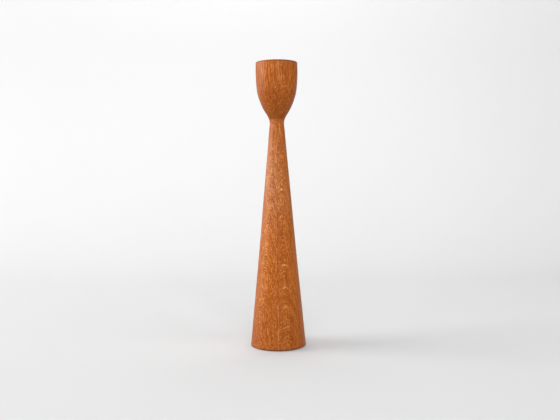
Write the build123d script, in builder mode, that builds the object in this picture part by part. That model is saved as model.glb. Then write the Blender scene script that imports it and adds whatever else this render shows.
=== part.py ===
from build123d import *
import os

# Turned teak candlestick: a slender tapered stem glued up from two boards, a
# tulip-shaped candle cup dowelled on at the neck, a brass candle liner that
# lifts out of the cup, and a felt pad under the foot.
#
# Millimetres.  +Z is the turning axis and points up; the origin is the middle
# of the foot, on the surface the candlestick stands on.  -Y is the front.

# ---- overall -------------------------------------------------------------
TOTAL_HEIGHT = 250.0       # table to the top of the rim
FELT_PROUD = 0.6           # the felt lifts the wood this far off the table
NECK_JOINT_Z = 200.4       # glue line between the stem and the cup

# ---- turned outline of the wood, (radius, height), foot to rim -----------
FOOT_R = 24.51
RIM_R = 18.25
OUTLINE = [
    (FOOT_R, FELT_PROUD),
    (21.26, 35.0),
    (17.33, 75.0),
    (13.68, 115.0),
    (10.54, 150.0),
    (8.15, 176.0),
    (7.15, 188.0),
    (6.65, 193.5),
    (6.32, 197.0),         # waist, the thinnest place
    (6.85, NECK_JOINT_Z),
    (8.26, 203.5),
    (10.44, 207.0),
    (12.84, 211.5),
    (15.14, 217.0),
    (17.07, 224.0),
    (18.07, 233.0),
    (18.39, 242.0),
    (RIM_R, TOTAL_HEIGHT),
]
FOOT_ARRIS = 0.4           # sanded edge round the foot
RIM_OUT_ARRIS = 0.5        # rim, outer edge
RIM_IN_ARRIS = 0.8         # rim, inner edge

# ---- candle liner, a spun brass cup with a flange ------------------------
SOCKET_R = 11.2            # takes a standard 22 mm taper candle
SOCKET_DEPTH = 24.0        # flange top to the socket floor
LINER_WALL = 0.5
FLANGE_R = 13.6
FLANGE_T = 0.5
LINER_FLOOR_BEND = 1.4     # inside corner at the floor
LINER_MOUTH_BEND = 0.35    # inside corner at the mouth
LINER_GAP = 0.08           # radial running clearance in the wooden bore
LINER_UNDER_GAP = 0.4      # air under the liner: the flange takes the load

# ---- cup interior --------------------------------------------------------
DISH_DEPTH = 4.5           # rim down to the seat of the flange
DISH_MOUTH_R = 15.4
DISH_FLOOR_R = 14.0

# ---- neck dowel ----------------------------------------------------------
DOWEL_R = 3.0
DOWEL_HALF = 14.5          # length in each part
DOWEL_CHAMFER = 0.6
DOWEL_HOLE_SPARE = 0.6     # room for glue past each end
FLUTES = 8
FLUTE_R = 0.3

# ---- felt pad ------------------------------------------------------------
FELT_R = 22.4
FELT_T = 1.6
FELT_RECESS_R = 22.5

# ---- derived heights -----------------------------------------------------
seat_z = TOTAL_HEIGHT - DISH_DEPTH
flange_top_z = seat_z + FLANGE_T
socket_floor_z = flange_top_z - SOCKET_DEPTH
liner_bottom_z = socket_floor_z - LINER_WALL
liner_r = SOCKET_R + LINER_WALL
bore_r = liner_r + LINER_GAP
bore_floor_z = liner_bottom_z - LINER_UNDER_GAP
dowel_bottom_z = NECK_JOINT_Z - DOWEL_HALF
dowel_top_z = NECK_JOINT_Z + DOWEL_HALF
hole_bottom_z = dowel_bottom_z - DOWEL_HOLE_SPARE
hole_top_z = dowel_top_z + DOWEL_HOLE_SPARE

os.makedirs("parts", exist_ok=True)

# ---- stem, left board: everything on the -X side of the glue line ---------
with BuildPart() as stem_left_half:
    with BuildSketch(Plane.YZ):
        with BuildLine():
            side = Spline(*OUTLINE)
            Polyline(side @ 1, (0, TOTAL_HEIGHT), (0, FELT_PROUD), side @ 0)
        make_face()
    revolve(axis=Axis.Z, revolution_arc=180)
    split(bisect_by=Plane.XY.offset(NECK_JOINT_Z), keep=Keep.BOTTOM)
    # blind dowel hole in the top, felt recess in the foot
    with BuildSketch(Plane.XY.offset(hole_bottom_z)):
        Circle(DOWEL_R)
    extrude(amount=NECK_JOINT_Z - hole_bottom_z, mode=Mode.SUBTRACT)
    with BuildSketch(Plane.XY.offset(FELT_PROUD)):
        Circle(FELT_RECESS_R)
    extrude(amount=FELT_T - FELT_PROUD, mode=Mode.SUBTRACT)
    foot = stem_left_half.edges().filter_by(GeomType.CIRCLE).group_by(Axis.Z)[0]
    fillet(foot.sort_by(SortBy.RADIUS)[-1], radius=FOOT_ARRIS)
stem_left_half.part.label = "stem_left_half"
export_step(stem_left_half.part, "parts/stem_left_half.step")

# ---- stem, right board: the +X side ---------------------------------------
with BuildPart() as stem_right_half:
    with BuildSketch(Plane.YZ):
        with BuildLine():
            side = Spline(*OUTLINE)
            Polyline(side @ 1, (0, TOTAL_HEIGHT), (0, FELT_PROUD), side @ 0)
        make_face()
    revolve(axis=Axis.Z, revolution_arc=-180)
    split(bisect_by=Plane.XY.offset(NECK_JOINT_Z), keep=Keep.BOTTOM)
    with BuildSketch(Plane.XY.offset(hole_bottom_z)):
        Circle(DOWEL_R)
    extrude(amount=NECK_JOINT_Z - hole_bottom_z, mode=Mode.SUBTRACT)
    with BuildSketch(Plane.XY.offset(FELT_PROUD)):
        Circle(FELT_RECESS_R)
    extrude(amount=FELT_T - FELT_PROUD, mode=Mode.SUBTRACT)
    foot = stem_right_half.edges().filter_by(GeomType.CIRCLE).group_by(Axis.Z)[0]
    fillet(foot.sort_by(SortBy.RADIUS)[-1], radius=FOOT_ARRIS)
stem_right_half.part.label = "stem_right_half"
export_step(stem_right_half.part, "parts/stem_right_half.step")

# ---- candle cup -----------------------------------------------------------
with BuildPart() as candle_cup:
    with BuildSketch(Plane.YZ):
        with BuildLine():
            side = Spline(*OUTLINE)
            Polyline(side @ 1, (0, TOTAL_HEIGHT), (0, FELT_PROUD), side @ 0)
        make_face()
    revolve(axis=Axis.Z)
    split(bisect_by=Plane.XY.offset(NECK_JOINT_Z), keep=Keep.TOP)
    # dish inside the rim: a cove that runs down to a flat seat
    with BuildSketch(Plane.YZ):
        with BuildLine():
            cove = Spline((DISH_FLOOR_R, seat_z), (DISH_MOUTH_R, TOTAL_HEIGHT),
                          tangents=[(1, 0.55), (0.06, 1)])
            Polyline(cove @ 1, (0, TOTAL_HEIGHT), (0, seat_z), cove @ 0)
        make_face()
    revolve(axis=Axis.Z, mode=Mode.SUBTRACT)
    # bore for the liner
    with BuildSketch(Plane.XY.offset(bore_floor_z)):
        Circle(bore_r)
    extrude(amount=seat_z - bore_floor_z, mode=Mode.SUBTRACT)
    # blind dowel hole in the underside
    with BuildSketch(Plane.XY.offset(NECK_JOINT_Z)):
        Circle(DOWEL_R)
    extrude(amount=hole_top_z - NECK_JOINT_Z, mode=Mode.SUBTRACT)
    rim = candle_cup.edges().filter_by(GeomType.CIRCLE).group_by(Axis.Z)[-1]
    rim = rim.sort_by(SortBy.RADIUS)
    fillet(rim[-1], radius=RIM_OUT_ARRIS)
    rim = candle_cup.edges().filter_by(GeomType.CIRCLE).group_by(Axis.Z)[-1]
    fillet(rim.sort_by(SortBy.RADIUS)[0], radius=RIM_IN_ARRIS)
candle_cup.part.label = "candle_cup"
export_step(candle_cup.part, "parts/candle_cup.step")

# ---- neck dowel, fluted beech ----------------------------------------------
with BuildPart() as neck_dowel:
    with BuildSketch(Plane.XY.offset(dowel_bottom_z)):
        Circle(DOWEL_R)
    extrude(amount=2 * DOWEL_HALF)
    chamfer(neck_dowel.edges().filter_by(GeomType.CIRCLE), length=DOWEL_CHAMFER)
    with BuildSketch(Plane.XY.offset(dowel_bottom_z)):
        with PolarLocations(DOWEL_R, FLUTES, start_angle=22.5):
            Circle(FLUTE_R)
    extrude(amount=2 * DOWEL_HALF, mode=Mode.SUBTRACT)
neck_dowel.part.label = "neck_dowel"
export_step(neck_dowel.part, "parts/neck_dowel.step")

# ---- candle liner, thin brass ----------------------------------------------
with BuildPart() as candle_liner:
    with BuildSketch(Plane.XY.offset(liner_bottom_z)):
        Circle(liner_r)
    extrude(amount=flange_top_z - liner_bottom_z)
    with BuildSketch(Plane.XY.offset(seat_z)):
        Circle(FLANGE_R)
    extrude(amount=FLANGE_T)
    with BuildSketch(Plane.XY.offset(flange_top_z)):
        Circle(SOCKET_R)
    extrude(amount=-SOCKET_DEPTH, mode=Mode.SUBTRACT)
    rings = candle_liner.edges().filter_by(GeomType.CIRCLE)
    fillet(rings.group_by(Axis.Z)[0], radius=LINER_FLOOR_BEND + LINER_WALL * 0.5)
    rings = candle_liner.edges().filter_by(GeomType.CIRCLE)
    floor_ring = rings.filter_by(lambda e: abs(e.center().Z - socket_floor_z) < 0.01)
    fillet(floor_ring, radius=LINER_FLOOR_BEND)
    rings = candle_liner.edges().filter_by(GeomType.CIRCLE).group_by(Axis.Z)[-1]
    fillet(rings.sort_by(SortBy.RADIUS)[0], radius=LINER_MOUTH_BEND)
    rings = candle_liner.edges().filter_by(GeomType.CIRCLE).group_by(Axis.Z)[-1]
    fillet(rings.sort_by(SortBy.RADIUS)[-1], radius=0.2)
candle_liner.part.label = "candle_liner"
export_step(candle_liner.part, "parts/candle_liner.step")

# ---- felt pad ---------------------------------------------------------------
with BuildPart() as base_felt:
    with BuildSketch(Plane.XY):
        Circle(FELT_R)
    extrude(amount=FELT_T)
base_felt.part.label = "base_felt"
export_step(base_felt.part, "parts/base_felt.step")
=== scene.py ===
import math

import bmesh
import bpy
import numpy as np
from mathutils import Euler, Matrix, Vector, noise
from mathutils.geometry import tessellate_polygon


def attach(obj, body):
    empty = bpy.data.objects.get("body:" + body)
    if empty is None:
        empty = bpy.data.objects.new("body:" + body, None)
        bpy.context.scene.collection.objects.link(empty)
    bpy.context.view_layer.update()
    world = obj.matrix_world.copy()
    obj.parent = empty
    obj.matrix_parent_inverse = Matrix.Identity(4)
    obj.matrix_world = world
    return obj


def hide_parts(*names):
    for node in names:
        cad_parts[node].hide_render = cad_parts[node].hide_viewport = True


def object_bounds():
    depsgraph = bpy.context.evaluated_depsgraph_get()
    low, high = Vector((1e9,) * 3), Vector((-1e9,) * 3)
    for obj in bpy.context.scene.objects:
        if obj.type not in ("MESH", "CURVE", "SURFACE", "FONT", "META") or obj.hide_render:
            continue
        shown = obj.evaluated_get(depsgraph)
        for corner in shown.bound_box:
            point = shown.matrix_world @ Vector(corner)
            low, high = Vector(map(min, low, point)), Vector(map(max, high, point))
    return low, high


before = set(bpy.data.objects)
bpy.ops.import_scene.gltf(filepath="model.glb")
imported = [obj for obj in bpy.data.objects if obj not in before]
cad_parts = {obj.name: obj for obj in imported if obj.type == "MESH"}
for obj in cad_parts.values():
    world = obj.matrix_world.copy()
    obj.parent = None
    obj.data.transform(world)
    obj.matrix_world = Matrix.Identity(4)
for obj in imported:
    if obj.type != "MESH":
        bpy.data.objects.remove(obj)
cad_low, cad_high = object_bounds()

# Lengths in this script are millimetres until a mesh or a lamp is made.
MM = 0.001

# ---- the turned shape ------------------------------------------------------
TOP_Z = round(cad_high.z * 1000, 3)
WOOD_Z = 0.6                  # the felt lifts the wood this far
NECK_Z = 200.4                # glue line of stem and cup
OUTLINE = [(24.51, 0.6), (21.26, 35.0), (17.33, 75.0), (13.68, 115.0), (10.54, 150.0), (8.15, 176.0), (7.15, 188.0), (6.65, 193.5), (6.32, 197.0), (6.85, 200.4),
           (8.26, 203.5), (10.44, 207.0), (12.84, 211.5), (15.14, 217.0), (17.07, 224.0), (18.07, 233.0), (18.39, 242.0), (18.25, 250.0)]
FELT_R, FELT_T, RECESS_R = 22.4, 1.6, 22.5
DOWEL_R = 3.0
SEAT_Z = 245.5
BORE_R, BORE_FLOOR = 11.78, 221.1


def spline_through(points, per=60):
    """A smooth curve through (r, z) points: a natural cubic over the chord length."""
    p = np.array(points, float)
    t = np.concatenate([[0], np.cumsum(np.hypot(*np.diff(p, axis=0).T))])
    n, h = len(t), np.diff(t)
    a = np.zeros((n, n))
    a[0, 0] = a[-1, -1] = 1
    rhs = np.zeros((n, 2))
    for i in range(1, n - 1):
        a[i, i - 1], a[i, i], a[i, i + 1] = h[i - 1], 2 * (h[i - 1] + h[i]), h[i]
        rhs[i] = 6 * ((p[i + 1] - p[i]) / h[i] - (p[i] - p[i - 1]) / h[i - 1])
    m = np.linalg.solve(a, rhs)
    out = []
    for i in range(n - 1):
        s = np.linspace(0, h[i], per, endpoint=False)[:, None]
        c = h[i] - s
        out.append((m[i] * c ** 3 + m[i + 1] * s ** 3) / (6 * h[i]) + (p[i] / h[i] - m[i] * h[i] / 6) * c + (p[i + 1] / h[i] - m[i + 1] * h[i] / 6) * s)
    return np.vstack(out + [p[-1:]])


CURVE = spline_through(OUTLINE)


def between(z0, z1):
    """The outline from height z0 up to z1, with its end points."""
    c = CURVE
    keep = (c[:, 1] > z0 + 1e-6) & (c[:, 1] < z1 - 1e-6)
    ends = [[np.interp(z, c[:, 1], c[:, 0]), z] for z in (z0, z1)]
    return np.vstack([ends[0:1], c[keep], ends[1:2]])


def outline_r(z):
    return np.interp(z, CURVE[:, 1], CURVE[:, 0])


class Profile:
    """A path in the (r, z) half-plane, made of stretches that each have a spacing and a share of the UV map."""

    def __init__(self):
        self.pts, self.step, self.weight = [], [], []

    def add(self, points, step=1.0, weight=1.0):
        for p in points:
            if self.pts and math.hypot(p[0] - self.pts[-1][0], p[1] - self.pts[-1][1]) < 1e-5:
                continue
            self.pts.append((float(p[0]), float(p[1])))
            self.step.append(step)
            self.weight.append(weight)
        return self

    def rounded(self, at, radius, steps=6):
        """Replaces the corner nearest to the point at by an arc that touches both sides."""
        p = np.array(self.pts)
        i = int(np.argmin(np.hypot(p[:, 0] - at[0], p[:, 1] - at[1])))
        c = p[i]
        a, b = p[i - 1] - c, p[i + 1] - c
        a, b = a / np.linalg.norm(a), b / np.linalg.norm(b)
        half = math.acos(float(np.clip(a @ b, -1, 1))) / 2
        cut = radius / math.tan(half)
        lo, hi = i - 1, i + 1
        while lo > 0 and np.linalg.norm(p[lo] - c) < cut:
            lo -= 1
        while hi < len(p) - 1 and np.linalg.norm(p[hi] - c) < cut:
            hi += 1
        start, end = c + a * cut, c + b * cut
        centre = c + (a + b) / np.linalg.norm(a + b) * (radius / math.sin(half))
        u, v = start - centre, end - centre
        angle = math.acos(float(np.clip(u @ v / radius ** 2, -1, 1)))
        arc = [centre + (u * math.sin((1 - k) * angle) + v * math.sin(k * angle)) / math.sin(angle) for k in np.linspace(0, 1, steps + 1)]
        w, s = self.weight[i], self.step[i]
        self.pts[lo + 1:hi] = [(float(q[0]), float(q[1])) for q in arc]
        self.weight[lo + 1:hi] = [w] * len(arc)
        self.step[lo + 1:hi] = [s] * len(arc)
        return self

    def dense(self):
        """Points no further apart than each stretch's spacing, and the UV length at each."""
        out, v = [self.pts[0]], [0.0]
        for i in range(1, len(self.pts)):
            a, b = np.array(self.pts[i - 1]), np.array(self.pts[i])
            d = float(np.linalg.norm(b - a))
            n = max(1, int(math.ceil(d / self.step[i] - 1e-6)))
            for k in range(1, n + 1):
                out.append(tuple(a + (b - a) * k / n))
                v.append(v[-1] + d / n * self.weight[i])
        return np.array(out), np.array(v) / v[-1]


def thin_out(points, step):
    """Drops points of a fine curve so that they stand about step apart, keeping both ends."""
    p = np.asarray(points)
    s = np.concatenate([[0], np.cumsum(np.hypot(*np.diff(p, axis=0).T))])
    n = max(2, int(math.ceil(s[-1] / step)) + 1)
    t = np.linspace(0, s[-1], n)
    return np.stack([np.interp(t, s, p[:, 0]), np.interp(t, s, p[:, 1])], 1)


# ---- a surface that was turned, sanded and handled ---------------------------
DINGS = [(212, 61.0, 1.5, 0.16), (150, 24.0, 1.1, 0.12), (38, 9.0, 1.3, 0.13), (95, 142.0, 0.9, 0.10), (300, 3.5, 1.4, 0.16), (185, 108.0, 1.2, 0.09),
         (342, 2.2, 0.9, 0.10), (70, 236.0, 1.0, 0.08), (240, 228.0, 1.2, 0.09), (128, 246.5, 1.1, 0.12), (20, 171.0, 0.8, 0.07)]


def worn(x, y, z):
    """How far in, in mm, hand sanding and use have taken the turned surface at a point."""
    v = Vector((x, y, z))
    d = 0.012 + 0.012 * noise.noise(v / 17.0) + 0.006 * noise.noise(Vector((x / 5.0, y / 5.0, z / 9.0)) + Vector((7, 3, 1)))
    r = math.hypot(x, y)
    if r > 1:
        for az, dz, size, deep in DINGS:
            if abs(z - dz) < size * 2.2:
                a = math.radians(az - 90)
                d2 = (x - r * math.cos(a)) ** 2 + (y - r * math.sin(a)) ** 2 + ((z - dz) * 0.8) ** 2
                if d2 < size * size * 4:
                    d += deep * math.exp(-d2 / (size * size) * 1.6)
    return d


def turned(name, profile, segments, half=None, wear=None, wobble=None):
    """A lathe solid. half is None for a full turn, or -1 or +1 for the half on that side of the YZ plane, closed by a flat face on it."""
    pts, v = profile.dense()
    n = len(pts)
    on_axis = pts[:, 0] < 1e-6
    if half is None:
        angles = np.linspace(0, 2 * math.pi, segments, endpoint=False) + math.pi / 2
    else:
        angles = np.linspace(0, math.pi, segments + 1) * (-half) + math.pi / 2   # from the back (+Y) round to the front (-Y)
    cols = len(angles)
    verts, index = [], np.zeros((n, cols), int)
    for i, (r, z) in enumerate(pts):
        if on_axis[i]:
            index[i, :] = len(verts)
            verts.append((0.0, 0.0, z))
            continue
        for j, a in enumerate(angles):
            index[i, j] = len(verts)
            verts.append((r * math.cos(a), r * math.sin(a), z))
    verts = np.array(verts)
    if half is not None:
        verts[np.abs(verts[:, 0]) < 1e-9, 0] = 0.0
    if wear is not None:
        # normals of the profile, so that wear goes straight in
        tangent = np.gradient(pts, axis=0)
        normal = np.stack([tangent[:, 1], -tangent[:, 0]], 1)
        normal /= np.maximum(np.linalg.norm(normal, axis=1), 1e-9)[:, None]
        for i in range(n):
            depth = wear(pts[i, 0], pts[i, 1])
            if depth <= 0 or on_axis[i]:
                continue
            for j in range(cols):
                k = index[i, j]
                x, y, z = verts[k]
                d = worn(x, y, z) * depth
                a = angles[j]
                verts[k] = (x - normal[i, 0] * math.cos(a) * d, y - normal[i, 0] * math.sin(a) * d, z - normal[i, 1] * d)
        if half is not None:
            for i in range(n):
                for j in (0, cols - 1):
                    verts[index[i, j], 0] = 0.0
    if wobble is not None:
        verts = np.array([wobble(*p) for p in verts])
    faces, uvs = [], []
    wrap = half is None
    su = 1.0 if wrap else 0.90
    # the profile runs so that the solid lies on its left, seen with r to the right and z up; faces point out
    for i in range(n - 1):
        for j in range(cols if wrap else cols - 1):
            j2 = (j + 1) % cols
            quad = [index[i, j], index[i, j2], index[i + 1, j2], index[i + 1, j]]
            u0, u1 = j / (cols if wrap else cols - 1) * su, (j + 1) / (cols if wrap else cols - 1) * su
            uv = [(u0, v[i]), (u1, v[i]), (u1, v[i + 1]), (u0, v[i + 1])]
            if half == 1:
                quad, uv = quad[::-1], uv[::-1]
            keep = [k for k in range(4) if quad[k] != quad[k - 1]]
            if len(keep) < 3:
                continue
            faces.append([quad[k] for k in keep])
            uvs.append([uv[k] for k in keep])
    if half is not None:
        # the flat face on the YZ plane: front edge up, back edge down
        ring = [index[i, cols - 1] for i in range(n)] + [index[i, 0] for i in range(n - 2, 0, -1)]
        loop = [Vector((verts[k][1], verts[k][2], 0)) for k in ring]
        z_top, y_max = verts[:, 2].max(), np.abs(verts[:, 1]).max()
        for tri in tessellate_polygon([loop]):
            t = [ring[k] for k in tri]
            p = verts[t]
            facing = np.cross(p[1] - p[0], p[2] - p[0])[0]
            if facing * half > 0:
                t = t[::-1]
            faces.append(t)
            uvs.append([(0.915 + 0.08 * (verts[k][1] / y_max * 0.5 + 0.5), 0.005 + 0.99 * verts[k][2] / z_top) for k in t])
    mesh = bpy.data.meshes.new(name)
    mesh.from_pydata([tuple(p * MM) for p in verts], [], faces)
    layer = mesh.uv_layers.new(name="OFBake")
    flat = [c for f in uvs for p in f for c in p]
    layer.data.foreach_set("uv", np.clip(np.array(flat, np.float32), 0.002, 0.998))
    mesh.polygons.foreach_set("use_smooth", [True] * len(mesh.polygons))
    mesh.update()
    mesh.set_sharp_from_angle(angle=math.radians(38))
    ob = bpy.data.objects.new(name, mesh)
    bpy.context.scene.collection.objects.link(ob)
    return ob


# ---- materials ---------------------------------------------------------------
# PAINTED_SHEEN is the pale tone of a painted sheen; PAINTED_SHADE_AND_DARK_FOOT is the dark tone of painted shade under
# the cup, also used for a band darker towards the foot
PAINTED_SHEEN, PAINTED_SHADE_AND_DARK_FOOT = (232, 188, 156), (96, 36, 6)


def lin(r, g, b):
    """sRGB 0-255 to linear."""
    return tuple(c / 12.92 if c <= 0.04045 else ((c + 0.055) / 1.055) ** 2.4 for c in (r / 255, g / 255, b / 255)) + (1.0,)


class Nodes:
    """Small helpers that keep node trees readable."""

    def __init__(self, name):
        self.mat = bpy.data.materials.new(name)
        self.mat.use_nodes = True
        self.nt = self.mat.node_tree
        self.nt.nodes.clear()
        self.out = self.nt.nodes.new("ShaderNodeOutputMaterial")
        self.bsdf = self.nt.nodes.new("ShaderNodeBsdfPrincipled")
        self.nt.links.new(self.bsdf.outputs[0], self.out.inputs["Surface"])

    def put(self, socket, value):
        if isinstance(value, bpy.types.NodeSocket):
            self.nt.links.new(value, socket)
        elif value is not None:
            socket.default_value = value

    def node(self, kind, inputs=(), **props):
        n = self.nt.nodes.new(kind)
        for k, v in props.items():
            setattr(n, k, v)
        for k, v in (inputs.items() if isinstance(inputs, dict) else enumerate(inputs)):
            self.put(n.inputs[k], v)
        return n

    def math(self, op, a, b=None, c=None, clamp=False):
        n = self.node("ShaderNodeMath", operation=op, use_clamp=clamp)
        for i, v in enumerate((a, b, c)):
            if v is not None:
                self.put(n.inputs[i], v)
        return n.outputs[0]

    def vec(self, op, a, b=None, scale=None):
        n = self.node("ShaderNodeVectorMath", operation=op)
        self.put(n.inputs[0], a)
        if b is not None:
            self.put(n.inputs[1], b)
        if scale is not None:
            self.put(n.inputs["Scale"], scale)
        return n.outputs["Value"] if op in ("DOT_PRODUCT", "LENGTH", "DISTANCE") else n.outputs["Vector"]

    def xyz(self, x, y, z):
        return self.node("ShaderNodeCombineXYZ", [x, y, z]).outputs[0]

    def split(self, v):
        return self.node("ShaderNodeSeparateXYZ", [v]).outputs

    def noise(self, v, scale=1.0, detail=2.0, rough=0.5, distortion=0.0, dims="3D", w=None):
        n = self.nt.nodes.new("ShaderNodeTexNoise")
        n.noise_dimensions = dims
        if dims != "1D":
            self.put(n.inputs["Vector"], v)
        if w is not None:
            self.put(n.inputs["W"], w)
        n.inputs["Scale"].default_value = scale
        n.inputs["Detail"].default_value = detail
        n.inputs["Roughness"].default_value = rough
        n.inputs["Distortion"].default_value = distortion
        return n.outputs["Fac"]

    def voronoi(self, v, scale=1.0, feature="F1", randomness=1.0, out="Distance"):
        n = self.nt.nodes.new("ShaderNodeTexVoronoi")
        n.feature = feature
        self.put(n.inputs["Vector"], v)
        n.inputs["Scale"].default_value = scale
        n.inputs["Randomness"].default_value = randomness
        return n.outputs[out]

    def fit(self, x, a, b, c=0.0, d=1.0, smooth=False):
        n = self.node("ShaderNodeMapRange", clamp=True, interpolation_type="SMOOTHSTEP" if smooth else "LINEAR")
        for i, v in enumerate((x, a, b, c, d)):
            self.put(n.inputs[i], v)
        return n.outputs[0]

    def mix(self, fac, a, b, blend="MIX"):
        n = self.node("ShaderNodeMix", data_type="RGBA", blend_type=blend, clamp_factor=True)
        self.put(n.inputs[0], fac)
        self.put(n.inputs[6], a)
        self.put(n.inputs[7], b)
        return n.outputs[2]

    def ramp(self, fac, stops, mode="LINEAR"):
        n = self.node("ShaderNodeValToRGB", [fac])
        r = n.color_ramp
        r.interpolation = mode
        while len(r.elements) > 1:
            r.elements.remove(r.elements[-1])
        r.elements[0].position, r.elements[0].color = stops[0]
        for pos, colour in stops[1:]:
            r.elements.new(pos).color = colour
        return n.outputs[0]

    def bump(self, height, strength, distance_mm, normal=None):
        n = self.node("ShaderNodeBump", {"Strength": strength, "Distance": distance_mm * MM, "Height": height})
        if normal is not None:
            self.put(n.inputs["Normal"], normal)
        return n.outputs[0]

    def place(self):
        """Row-frame position in mm: every piece's mesh is built in the row frame."""
        tc = self.node("ShaderNodeTexCoord")
        return self.vec("SCALE", tc.outputs["Object"], scale=1000.0)


def teak(name, facing, pith, lines, spacing=1.68, painted_bands=(), bow=0.0, tilt=0.0, seed=0.0, seam=False, fleck=1.0, bands=1.0, stripes=0.34, waves=0.055, mineral=(), calm=(), scratch=()):
    """Solid teak, cut through as it would be in the block, so that faces, ends and edges agree.

    facing   azimuth, in degrees from the front towards +X, that the growth rings lie flat to
    pith     distance in mm from the turning axis back to the middle of the tree
    lines    (radius, strength, half width) of the pale lines: mm from the turning axis along facing
    spacing  mm of radius per year
    painted_bands   (height, spread, share): above 0 a pale band painted in as a sheen; below 0 a dark band, painted shade under the cup and on its underside, also a band darker towards the foot
    bow      how far the rings lean back, mm per mm, above the first few centimetres
    tilt     how far the tree stood to the side of the turning axis, mm per mm
    mineral  (mm to the side, height, half length, half width) of the pale mineral streaks along the grain
    calm     (height, spread, share) of the zones where the figure is fainter
    scratch  (height, half width, strength) of the fine dark scratches left round the piece by the lathe
    """
    k = Nodes(name)
    p = k.place()
    a = math.radians(facing)
    n = (math.sin(a), -math.cos(a), 0.0)
    t = (math.cos(a), math.sin(a), 0.0)
    x, y, z = k.split(p)

    # slow drift of the rings, and a finer waver that breaks their edges up
    drift = k.noise(k.vec("MULTIPLY", p, (1 / 26, 1 / 26, 1 / 70)), detail=1.0, w=seed, dims="4D")
    waver = k.noise(k.vec("MULTIPLY", p, (1 / 1.5, 1 / 1.5, 1 / 3.2)), detail=2.0, w=seed + 5, dims="4D")
    out = k.math("ADD", k.vec("DOT_PRODUCT", p, n), pith)
    across = k.math("SUBTRACT", k.vec("DOT_PRODUCT", p, t), k.math("MULTIPLY", k.math("SUBTRACT", z, 83.0), tilt))
    lean = k.math("MULTIPLY", k.math("SMOOTH_MAX", k.math("SUBTRACT", z, 42.0), 0.0, 25.0), bow)
    true = k.math("SUBTRACT", k.math("SQRT", k.math("ADD", k.math("MULTIPLY", out, out), k.math("MULTIPLY", across, across))), pith)
    rho = k.math("SUBTRACT", true, lean)
    rho = k.math("ADD", rho, k.math("MULTIPLY", k.math("SUBTRACT", drift, 0.5), 0.9))
    rho = k.math("ADD", rho, k.math("MULTIPLY", k.math("SUBTRACT", waver, 0.5), 0.30))
    years = k.math("DIVIDE", rho, spacing)
    uneven = k.math("MULTIPLY", k.math("SUBTRACT", k.noise(None, 0.9, 1.0, dims="1D", w=k.math("ADD", years, seed * 3.1)), 0.5), 0.35)
    part = k.math("FRACT", k.math("ADD", years, uneven))           # 0 at the start of a year
    early = k.fit(part, 0.03, 0.5, 1.0, 0.15, smooth=True)
    late = k.math("MULTIPLY", k.fit(part, 0.35, 0.92, 0.0, 1.0, smooth=True), k.fit(part, 0.94, 1.0, 1.0, 0.0))

    # the brightest ring edges, seen where they are cut nearly flat
    exact = k.math("ADD", true, k.math("MULTIPLY", k.math("SUBTRACT", waver, 0.5), 0.07))
    side = k.math("ABSOLUTE", across)
    pale = 0.0
    for radius, strength, half in lines:
        off = k.math("ABSOLUTE", k.math("SUBTRACT", exact, radius))
        line = k.math("MULTIPLY", k.fit(off, 0.035, 0.10, strength, 0.0, smooth=True), k.fit(side, half * 0.5, half * 1.5, 1.0, 0.10, smooth=True))
        pale = k.math("MAXIMUM", line, pale)

    # soft cells that lie in sheets along the rings: nested arches where the rings
    # are cut flat, a lace of short flecks elsewhere
    def lace(dr, da, dz, w, detail=1.0, slant=0.0):
        up = k.math("ADD", z, k.math("MULTIPLY", across, slant)) if slant else z
        cell = k.xyz(k.math("MULTIPLY", rho, 1 / dr), k.math("MULTIPLY", across, 1 / da), k.math("MULTIPLY", up, 1 / dz))
        return k.noise(cell, detail=detail, rough=0.5, w=seed + w, dims="4D")

    sheets = lace(0.16, 2.9, 12.0, 2)
    wave = k.math("SINE", k.math("ADD", k.math("MULTIPLY", rho, 2 * math.pi / 0.31), k.math("MULTIPLY", sheets, 7.0)))
    fine = lace(0.14, 0.62, 2.0, 3)
    coarse = lace(0.46, 1.1, 4.2, 12)
    stripe = k.noise(k.xyz(k.math("MULTIPLY", x, 1 / 0.85), k.math("MULTIPLY", y, 1 / 0.85), k.math("MULTIPLY", z, 1 / 10)), detail=2.0, rough=0.6, w=seed + 13, dims="4D")
    broken = k.noise(k.vec("MULTIPLY", p, (1 / 4.0, 1 / 4.0, 1 / 14)), detail=1.0, w=seed + 9, dims="4D")

    # pores: long thin tubes, dots on end grain and short dark strokes elsewhere
    tubes = k.vec("ADD", k.vec("MULTIPLY", p, (1 / 0.62, 1 / 0.62, 1 / 3.8)), (seed, seed * 1.7, 0.0))
    pore_size = k.math("MULTIPLY", k.math("ADD", k.math("MULTIPLY", early, 0.16), 0.17), k.fit(coarse, 0.35, 0.65, 1.25, 0.75))
    pore = k.fit(k.math("DIVIDE", k.voronoi(tubes), pore_size), 0.75, 1.1, 1.0, 0.0, smooth=True)
    fibre = k.noise(k.vec("MULTIPLY", p, (1 / 0.27, 1 / 0.27, 1 / 8.0)), detail=2.0, rough=0.6, w=seed + 4, dims="4D")
    # broad streaks of darker and lighter wood along the board
    streak = k.noise(k.vec("MULTIPLY", p, (1 / 5.0, 1 / 5.0, 1 / 150)), detail=2.0, rough=0.5, w=seed + 6, dims="4D")
    cloud = k.noise(k.vec("MULTIPLY", p, (1 / 20, 1 / 20, 1 / 45)), detail=2.0, w=seed + 7, dims="4D")

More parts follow.
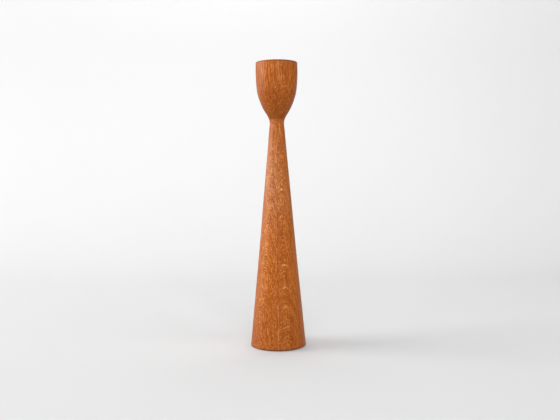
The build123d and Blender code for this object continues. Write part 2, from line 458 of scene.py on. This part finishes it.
    # bands of colour painted up the piece: a pale band as a painted sheen, dark bands as painted shade under the cup
    # and on its underside, and a band darker towards the foot; the figure shows more in the pale band
    zones, figure = [], 1.0
    for height, spread, share in painted_bands:
        off = k.math("DIVIDE", k.math("SUBTRACT", z, height), spread)
        bell = k.math("EXPONENT", k.math("MULTIPLY", k.math("MULTIPLY", off, off), -1.0))
        zones.append((k.math("MULTIPLY", bell, k.fit(cloud, 0.3, 0.7, abs(share) * 0.75, abs(share) * 1.25)), share))
        if share > 0:
            figure = k.math("MULTIPLY_ADD", bell, 0.35, figure)
    for height, spread, share in calm:
        off = k.math("DIVIDE", k.math("SUBTRACT", z, height), spread)
        bell = k.math("EXPONENT", k.math("MULTIPLY", k.math("MULTIPLY", off, off), -1.0))
        figure = k.math("MULTIPLY_ADD", bell, -share, figure)

    parts = ((streak, 0.20 * bands), (cloud, 0.12), (sheets, 0.30 * fleck), (fine, 0.76 * fleck), (coarse, 0.20 * fleck), (fibre, 0.44), (stripe, stripes))
    tone = k.math("MULTIPLY_ADD", k.math("MULTIPLY", wave, k.fit(fine, 0.35, 0.62, 0.3, 1.0)), waves, 0.52)
    for field, share in parts:
        tone = k.math("MULTIPLY_ADD", k.math("SUBTRACT", field, 0.5), share, tone)
    tone = k.math("MULTIPLY_ADD", late, -0.06, tone)
    tone = k.math("MULTIPLY_ADD", k.math("SUBTRACT", tone, 0.5), figure, 0.5)
    tone = k.math("MULTIPLY_ADD", pore, k.fit(broken, 0.35, 0.62, -0.07, -0.21), tone)
    tone = k.math("MULTIPLY_ADD", pale, 0.25, tone)
    for aside, height, half, wide in mineral:
        beside = k.fit(k.math("ABSOLUTE", k.math("SUBTRACT", across, aside)), wide * 0.3, wide * 1.4, 1.0, 0.0, smooth=True)
        along = k.fit(k.math("ABSOLUTE", k.math("SUBTRACT", z, height)), half * 0.5, half, 1.0, 0.0, smooth=True)
        front = k.fit(out, pith, pith + 2.0, 0.0, 0.20, smooth=True)
        tone = k.math("MULTIPLY_ADD", k.math("MULTIPLY", beside, along), front, tone)
    for height, half, strength in scratch:
        off = k.math("ABSOLUTE", k.math("SUBTRACT", k.math("MULTIPLY_ADD", k.math("SUBTRACT", cloud, 0.5), 0.6, z), height))
        mark = k.math("MULTIPLY", k.fit(off, half * 0.5, half * 1.3, 1.0, 0.0, smooth=True), k.fit(broken, 0.30, 0.60, 0.55, 1.0))
        tone = k.math("MULTIPLY_ADD", mark, -strength, tone)
    if seam:
        # the glue line: pale near the foot, a dark hairline above it
        width = k.math("ADD", k.math("ABSOLUTE", x), k.math("MULTIPLY", k.math("SUBTRACT", waver, 0.5), 0.16))
        line = k.fit(width, 0.10, 0.30, 1.0, 0.0, smooth=True)
        change = k.fit(z, 38.0, 50.0, 0.24, -0.26, smooth=True)
        change = k.math("MULTIPLY", change, k.fit(z, 75.0, 130.0, 1.0, 0.35, smooth=True))
        tone = k.math("MULTIPLY_ADD", line, change, tone)
    colour = k.ramp(tone, [(0.0, lin(88, 34, 0)), (0.25, lin(119, 51, 0)), (0.50, lin(155, 77, 2)), (0.74, lin(191, 121, 56)), (1.0, lin(220, 169, 114))])

    # the painted bands, then painted shade: a dark line along the rim's outer round-over, darker on the right side, and
    # a painted contact shadow along the foot's edge
    for zone, share in zones:
        colour = k.mix(zone, colour, lin(*(PAINTED_SHEEN if share > 0 else PAINTED_SHADE_AND_DARK_FOOT)))
    r = k.math("SQRT", k.math("ADD", k.math("MULTIPLY", x, x), k.math("MULTIPLY", y, y)))
    # painted shade along the rim's outer edge
    rim_shade = k.math("MULTIPLY", k.fit(z, TOP_Z - 1.8, TOP_Z - 0.8, 0.0, 0.82, smooth=True), k.fit(r, 17.3, 17.95, 0.42, 1.0, smooth=True))
    rim_shade = k.math("MULTIPLY", rim_shade, k.fit(x, -14.0, 9.0, 0.38, 1.0, smooth=True))   # painted shade: darker on the right side, away from the key light
    # plus a painted contact shadow along the foot's edge, both mixed towards dark brown below
    painted_edge_shade = k.math("ADD", k.fit(z, WOOD_Z, 2.2, 0.80, 0.0, smooth=True), rim_shade)
    painted_edge_shade = k.math("MULTIPLY", painted_edge_shade, k.fit(cloud, 0.3, 0.7, 0.7, 1.2))
    colour = k.mix(painted_edge_shade, colour, lin(96, 40, 22))
    k.put(k.bsdf.inputs["Base Color"], colour)

    sheen = k.noise(k.vec("MULTIPLY", p, (1 / 8, 1 / 8, 1 / 22)), detail=3.0, w=seed + 8, dims="4D")
    rough = k.fit(sheen, 0.3, 0.7, 0.42, 0.54)
    rough = k.math("ADD", rough, k.math("MULTIPLY", pore, 0.20))
    rough = k.math("SUBTRACT", rough, k.math("MULTIPLY", late, 0.05))
    k.put(k.bsdf.inputs["Roughness"], rough)
    k.put(k.bsdf.inputs["Specular IOR Level"], 0.17)

    # relief: pores are open, pale soft wood is a little lower than the dense, and
    # fine sanding lines run round the piece
    sand = k.noise(k.xyz(r, k.math("MULTIPLY", across, 0.25), k.math("MULTIPLY", z, 1 / 0.12)), detail=1.0, w=seed + 11, dims="4D")
    relief = k.math("ADD", k.math("MULTIPLY", late, 0.30), k.math("MULTIPLY", sheets, -0.35))
    relief = k.math("ADD", relief, k.math("MULTIPLY", sand, 0.12))
    relief = k.math("ADD", relief, k.math("MULTIPLY", fibre, 0.30))
    normal = k.bump(relief, 0.55, 0.05)
    normal = k.bump(k.math("MULTIPLY", pore, -1.0), 0.7, 0.06, normal)
    k.put(k.bsdf.inputs["Normal"], normal)
    return k.mat


def spun_brass(name):
    k = Nodes(name)
    p = k.place()
    x, y, z = k.split(p)
    r = k.math("SQRT", k.math("ADD", k.math("MULTIPLY", x, x), k.math("MULTIPLY", y, y)))
    rings = k.noise(k.xyz(k.math("MULTIPLY", r, 1 / 0.16), k.math("MULTIPLY", z, 1 / 0.16), 0.0), detail=3.0, rough=0.7)
    cloud = k.noise(k.vec("MULTIPLY", p, (1 / 4.5, 1 / 4.5, 1 / 6)), detail=4.0, rough=0.6)
    spots = k.noise(k.vec("MULTIPLY", p, (1 / 0.9, 1 / 0.9, 1 / 0.9)), detail=3.0, rough=0.65)
    deep = k.fit(z, 222.0, 244.0, 1.0, 0.0, smooth=True)
    tarnish = k.math("ADD", k.fit(cloud, 0.46, 0.68, 0.0, 0.55, smooth=True), k.math("MULTIPLY", deep, 0.42))
    tarnish = k.math("ADD", tarnish, k.fit(spots, 0.60, 0.72, 0.0, 0.35, smooth=True), clamp=True)
    colour = k.mix(tarnish, lin(232, 192, 118), lin(152, 110, 60))
    colour = k.mix(k.fit(rings, 0.45, 0.7, 0.0, 0.25, smooth=True), colour, lin(176, 132, 70))
    k.put(k.bsdf.inputs["Base Color"], colour)
    k.put(k.bsdf.inputs["Metallic"], 1.0)
    rough = k.math("ADD", k.fit(rings, 0.3, 0.7, 0.20, 0.32), k.math("MULTIPLY", tarnish, 0.24))
    k.put(k.bsdf.inputs["Roughness"], rough)
    k.put(k.bsdf.inputs["Normal"], k.bump(k.math("ADD", rings, k.math("MULTIPLY", spots, 0.5)), 0.5, 0.02))
    return k.mat


def wool_felt(name):
    k = Nodes(name)
    p = k.place()
    warp = k.noise(k.vec("MULTIPLY", p, (1 / 1.4, 1 / 1.4, 1 / 1.4)), detail=2.0)
    bent = k.vec("ADD", p, k.vec("SCALE", k.xyz(warp, k.math("SUBTRACT", 1.0, warp), warp), scale=1.2))
    fibres = k.noise(k.vec("MULTIPLY", bent, (1 / 0.09, 1 / 0.45, 1 / 0.3)), detail=3.0, rough=0.7)
    fibres2 = k.noise(k.vec("MULTIPLY", bent, (1 / 0.5, 1 / 0.1, 1 / 0.3)), detail=3.0, rough=0.7)
    both = k.math("MAXIMUM", fibres, fibres2)
    felted = k.noise(k.vec("MULTIPLY", p, (1 / 3.2, 1 / 3.2, 1 / 3.2)), detail=4.0, rough=0.6)
    colour = k.ramp(both, [(0.40, lin(16, 30, 21)), (0.56, lin(42, 68, 50)), (0.70, lin(92, 118, 92))])
    colour = k.mix(k.fit(felted, 0.40, 0.65, 0.0, 0.45, smooth=True), colour, lin(28, 44, 34))
    dust = k.fit(k.noise(k.vec("MULTIPLY", p, (1 / 0.6, 1 / 0.6, 1.0)), detail=2.0), 0.66, 0.74, 0.0, 0.5, smooth=True)
    colour = k.mix(dust, colour, lin(138, 132, 116))
    k.put(k.bsdf.inputs["Base Color"], colour)
    k.put(k.bsdf.inputs["Roughness"], k.fit(both, 0.3, 0.7, 0.86, 1.0))
    k.put(k.bsdf.inputs["Specular IOR Level"], 0.15)
    k.put(k.bsdf.inputs["Sheen Weight"], 0.25)
    k.put(k.bsdf.inputs["Sheen Roughness"], 0.6)
    k.put(k.bsdf.inputs["Normal"], k.bump(k.math("ADD", both, k.math("MULTIPLY", felted, 0.8)), 0.9, 0.12))
    return k.mat


def beech(name):
    k = Nodes(name)
    p = k.place()
    grain = k.noise(k.vec("MULTIPLY", p, (1 / 0.5, 1 / 0.5, 1 / 9)), detail=3.0, rough=0.6)
    rays = k.voronoi(k.vec("MULTIPLY", p, (1 / 0.35, 1 / 0.9, 1 / 1.8)))
    colour = k.mix(k.fit(grain, 0.35, 0.65), lin(214, 176, 132), lin(192, 148, 104))
    colour = k.mix(k.fit(rays, 0.10, 0.24, 0.5, 0.0, smooth=True), colour, lin(150, 102, 64))
    k.put(k.bsdf.inputs["Base Color"], colour)
    k.put(k.bsdf.inputs["Roughness"], k.fit(grain, 0.3, 0.7, 0.55, 0.7))
    k.put(k.bsdf.inputs["Normal"], k.bump(grain, 0.5, 0.04))
    return k.mat


# ---- the pieces ---------------------------------------------------------------
def outer_wear(z0, z1):
    """Wear on the turned outside between two heights, easing off at its ends."""
    def depth(r, z):
        if abs(r - outline_r(z)) > 0.6:
            return 0.0
        return float(np.clip(min(z - z0, z1 - z) / 1.5, 0.0, 1.0))
    return depth


def stem_profile():
    side = thin_out(between(WOOD_Z, NECK_Z), 0.62)
    side[:, 0] = np.minimum(side[:, 0], 24.455)
    q = Profile()
    q.add([(0, FELT_T), (RECESS_R, FELT_T)], 4.0, 0.06)
    q.add([(RECESS_R, WOOD_Z)], 0.5, 0.3)
    q.add([side[0]], 0.6, 1.0)
    q.add(side[1:], 0.7, 1.0)
    q.add([(DOWEL_R, NECK_Z)], 1.0, 0.15)
    q.add([(DOWEL_R, NECK_Z - 15.1), (0, NECK_Z - 15.1)], 3.0, 0.05)
    q.rounded(side[0], 0.4, 6)
    q.rounded((RECESS_R, WOOD_Z), 0.15, 3)
    q.rounded(side[-1], 0.07, 3)
    return q


def cup_profile():
    side = thin_out(between(NECK_Z, TOP_Z), 0.5)
    q = Profile()
    q.add([(0, NECK_Z + 15.1), (DOWEL_R, NECK_Z + 15.1), (DOWEL_R, NECK_Z)], 3.0, 0.05)
    q.add([side[0]], 1.0, 0.15)
    q.add(side[1:], 0.6, 1.0)
    rim_out = tuple(side[-1])
    # the cove inside the rim, from its mouth down to the seat
    b0, b3 = np.array([14.0, SEAT_Z]), np.array([15.4, TOP_Z])
    b1, b2 = b0 + np.array([0.88, 0.48]) * 1.1, b3 - np.array([0.06, 1.0]) * 2.4
    t = np.linspace(1, 0, 14)[:, None]
    cove = b0 * (1 - t) ** 3 + 3 * b1 * t * (1 - t) ** 2 + 3 * b2 * t * t * (1 - t) + b3 * t ** 3
    q.add([cove[0]], 0.5, 1.0)
    q.add(cove[1:], 0.5, 1.0)
    q.add([(BORE_R, SEAT_Z)], 0.6, 0.6)
    q.add([(BORE_R, BORE_FLOOR), (0, BORE_FLOOR)], 3.0, 0.08)
    q.rounded(rim_out, 0.5, 7)
    q.rounded(b3, 0.8, 8)
    q.rounded((BORE_R, SEAT_Z), 0.12, 2)
    q.rounded(side[0], 0.07, 3)
    return q


def liner_profile():
    q = Profile()
    q.add([(0, 221.5), (11.7, 221.5)], 1.6, 0.15)
    q.add([(11.7, SEAT_Z)], 2.0, 0.15)
    q.add([(13.6, SEAT_Z)], 0.6, 0.5)
    q.add([(13.6, 246.0)], 0.3, 1.0)
    q.add([(11.2, 246.0)], 0.4, 1.3)
    q.add([(11.2, 222.0)], 0.8, 1.0)
    q.add([(0, 222.0)], 0.7, 1.0)
    q.rounded((11.7, 221.5), 1.65, 7)
    q.rounded((13.6, 246.0), 0.2, 5)
    q.rounded((11.2, 246.0), 0.35, 6)
    q.rounded((11.2, 222.0), 1.4, 8)
    q.rounded((13.6, SEAT_Z), 0.1, 2)
    return q


def felt_profile():
    q = Profile()
    q.add([(0, 0.0), (FELT_R, 0.0)], 0.42, 1.0)
    q.add([(FELT_R, FELT_T)], 0.25, 1.0)
    q.add([(0, FELT_T)], 3.0, 0.1)
    q.rounded((FELT_R, 0.0), 0.3, 4)
    return q


def felted(x, y, z):
    """Pressed wool: a soft uneven underside and a slightly ragged cut edge."""
    r = math.hypot(x, y)
    up = 0.035 + 0.035 * noise.noise(Vector((x / 1.1, y / 1.1, 0.3))) + 0.03 * noise.noise(Vector((x / 4.0, y / 4.0, 8.3)))
    share = max(0.0, 1.0 - z / 0.5)
    ragged = 1.0
    if r > FELT_R - 0.9:
        a = math.atan2(y, x)
        ragged = 1.0 - (0.05 + 0.05 * noise.noise(Vector((math.cos(a) * 22, math.sin(a) * 22, z * 2.0)))) / r
    return (x * ragged, y * ragged, z + max(0.0, up) * share)


SEGMENTS = 144
stem_wear = outer_wear(WOOD_Z, NECK_Z)
left = turned("Stem_Left_Board", stem_profile(), SEGMENTS, half=-1, wear=stem_wear)
right = turned("Stem_Right_Board", stem_profile(), SEGMENTS, half=1, wear=stem_wear)
cup = turned("Candle_Cup", cup_profile(), 256, wear=outer_wear(NECK_Z, TOP_Z))
liner = turned("Brass_Liner", liner_profile(), 192)
felt = turned("Base_Felt", felt_profile(), 240, wobble=felted)

# painted_bands on the stem: the pale band at 150 mm is a painted sheen, the dark band just under the neck is painted
# shade from the cup above, and the band at the foot is only darker towards the bottom
left.data.materials.append(teak("Teak_Left_Board", facing=-38, pith=62, tilt=-0.17, fleck=1.32, lines=((16.58, 0.6, 1.6),), painted_bands=((150, 38, 0.11), (196, 12, -0.12), (6, 34, -0.18)), bow=0.035, seed=3.0, seam=True, calm=((183, 20, 0.18),), scratch=((170.4, 0.32, 0.16),)))
right.data.materials.append(teak("Teak_Right_Board", facing=19, pith=75, seed=11.0, seam=True, waves=0.068, fleck=0.90, painted_bands=((150, 38, 0.03), (190, 14, -0.10), (6, 34, -0.18)),
                                 lines=((11.52, 2.0, 0.75), (17.42, 0.95, 1.9), (19.27, 0.95, 1.9), (20.96, 0.95, 1.8), (22.62, 0.60, 2.2), (23.38, 0.45, 2.4), (22.0, 0.30, 3.2)), mineral=((0.2, 193.0, 7.0, 0.55),), calm=((183, 20, 0.18),), scratch=((170.4, 0.32, 0.13),)))
# painted_bands on the cup: painted shade on its downward-facing underside and at the neck, partly the cup's darker wood
cup.data.materials.append(teak("Teak_Cup", facing=20, pith=80, lines=((16.85, 0.75, 1.4), (17.6, 0.35, 1.8)), spacing=1.55, painted_bands=((211, 19, -0.34), (201, 4, -0.28)), seed=23.0, fleck=0.78, stripes=0.85))
liner.data.materials.append(spun_brass("Spun_Brass"))
felt.data.materials.append(wool_felt("Wool_Felt"))
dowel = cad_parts["neck_dowel"]
dowel.data.materials.clear()
dowel.data.materials.append(beech("Beech"))

for piece, body, node, slot in ((left, "stand", "stem_left_half", "stem_teak"), (right, "stand", "stem_right_half", "stem_teak"), (cup, "stand", "candle_cup", "cup_teak"),
                                (liner, "liner", "candle_liner", "liner_brass"), (felt, "stand", "base_felt", "pad_felt")):
    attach(piece, body)
    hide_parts(node)

# ---- studio --------------------------------------------------------------------
PAPER = 0.615
LAMPS = 1.06
scene = bpy.context.scene
scene.view_settings.view_transform = "Standard"
scene.view_settings.look = "None"


def sweep():
    """A pale floor that runs back and curves up into a wall."""
    half, front, flat, bend, top = 3.2, -3.2, 0.36, 0.42, 1.8
    line = [(front + (flat - front) * i / 24, 0.0) for i in range(25)]
    line += [(flat + bend * math.sin(a), bend - bend * math.cos(a)) for a in np.linspace(0, math.pi / 2, 25)[1:]]
    line += [(flat + bend, bend + (top - bend) * i / 8) for i in range(1, 9)]
    xs = np.linspace(-half, half, 49)
    verts = [(x, y, z) for y, z in line for x in xs]
    m = len(xs)
    faces = [(i * m + j, i * m + j + 1, (i + 1) * m + j + 1, (i + 1) * m + j) for i in range(len(line) - 1) for j in range(m - 1)]
    mesh = bpy.data.meshes.new("Sweep")
    mesh.from_pydata(verts, [], faces)
    mesh.polygons.foreach_set("use_smooth", [True] * len(mesh.polygons))
    ob = bpy.data.objects.new("Sweep", mesh)
    scene.collection.objects.link(ob)
    k = Nodes("Sweep_Paper")
    p = k.node("ShaderNodeTexCoord").outputs["Object"]
    tone = k.math("MULTIPLY_ADD", k.math("SUBTRACT", k.noise(p, 3.0, 3.0), 0.5), 0.015, PAPER)
    k.put(k.bsdf.inputs["Base Color"], k.xyz(tone, tone, tone))
    k.put(k.bsdf.inputs["Roughness"], 0.9)
    k.put(k.bsdf.inputs["Specular IOR Level"], 0.1)
    k.put(k.bsdf.inputs["Normal"], k.bump(k.noise(p, 900.0, 2.0), 0.15, 0.2))
    mesh.materials.append(k.mat)
    return ob


sweep()


def softbox(name, at, aim, size, watts, colour=(1, 1, 1)):
    lamp = bpy.data.lights.new(name, "AREA")
    lamp.shape = "RECTANGLE"
    lamp.size, lamp.size_y = size
    lamp.energy = watts
    lamp.color = colour
    ob = bpy.data.objects.new(name, lamp)
    ob.location = at
    ob.rotation_euler = (Vector(aim) - Vector(at)).to_track_quat("-Z", "Y").to_euler()
    scene.collection.objects.link(ob)
    return ob


softbox("Key_Left", (-2.6, 0.00, 1.00), (0, 0, 0.12), (1.8, 1.6), 77.0 * LAMPS)
softbox("Key_Front_Left", (-1.4, -1.6, 1.2), (0, 0, 0.1), (1.3, 1.3), 6.0 * LAMPS)
softbox("Fill_Front", (0.1, -2.1, 1.25), (0, 0.6, 0.4), (1.8, 1.6), 41.5 * LAMPS)
softbox("Fill_Right", (2.1, -1.2, 1.1), (0, 0, 0.1), (1.7, 1.7), 19.5 * LAMPS)
softbox("Background_Glow", (0.0, 0.30, 0.95), (0, 0.62, 0.10), (0.5, 0.3), 2.0 * LAMPS)

world = bpy.data.worlds.new("Room")
scene.world = world
world.use_nodes = True
bg = world.node_tree.nodes["Background"]
bg.inputs[0].default_value = (0.97, 0.98, 1.0, 1)
bg.inputs[1].default_value = 0.15

# ---- camera --------------------------------------------------------------------
cam_data = bpy.data.cameras.new("Camera")
cam = bpy.data.objects.new("Camera", cam_data)
scene.collection.objects.link(cam)
scene.camera = cam
cam_data.sensor_width = 36.0
cam_data.lens = 667.6 / 560 * 36.0
cam_data.clip_start, cam_data.clip_end = 0.01, 20
aimed = Euler((math.radians(90 - 3.086), 0, 0)).to_matrix() @ Euler((0, 0, math.radians(-0.403))).to_matrix()
cam.rotation_euler = aimed.to_euler()
cam.location = (0.00221, -0.5910, 0.1526)
